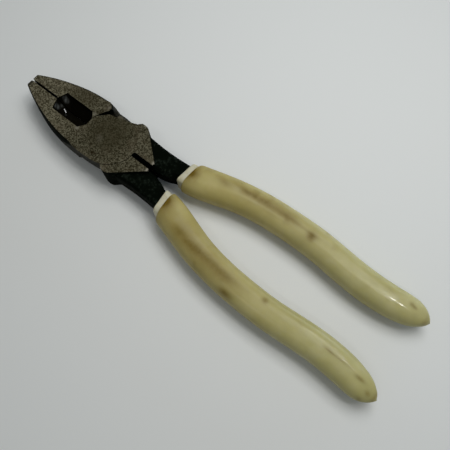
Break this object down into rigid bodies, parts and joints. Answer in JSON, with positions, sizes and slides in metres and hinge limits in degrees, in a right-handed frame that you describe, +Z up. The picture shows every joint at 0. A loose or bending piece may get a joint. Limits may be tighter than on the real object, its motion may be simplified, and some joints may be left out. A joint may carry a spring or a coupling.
{
  "type": "lineman pliers",
  "caption": "High-leverage lineman pliers: two crossed steel forgings on a flush rivet, side cutters, toothed nose, double-dipped translucent grips.",
  "frame": {"origin": "where the pivot axis meets the underside of the head, the plane the tool lies on", "axes": "+X towards the jaw tips, +Y towards the left jaw, +Z up along the pivot axis"},
  "size_m": [0.2394, 0.0584, 0.016],
  "materials": {
    "forged_steel": "ground faces on black oxide, worn, with specks of rust",
    "rivet_steel": "ground flush",
    "grip_liner": "satin dip",
    "grip_coat": "glossy translucent dip, stained by use"
  },
  "bodies": {
    "right_half": {"right_forging": "forged_steel", "pivot_rivet": "rivet_steel", "right_grip_liner": "grip_liner", "right_grip": "grip_coat"},
    "left_half": {"left_forging": "forged_steel", "left_grip_liner": "grip_liner", "left_grip": "grip_coat"}
  },
  "joints": [
    {"name": "pivot", "type": "hinge", "parent": "right_half", "child": "left_half", "pos_m": [0, 0, 0.008], "axis": [0, 0, 1], "range_deg": [-0.45, 38]}
  ]
}
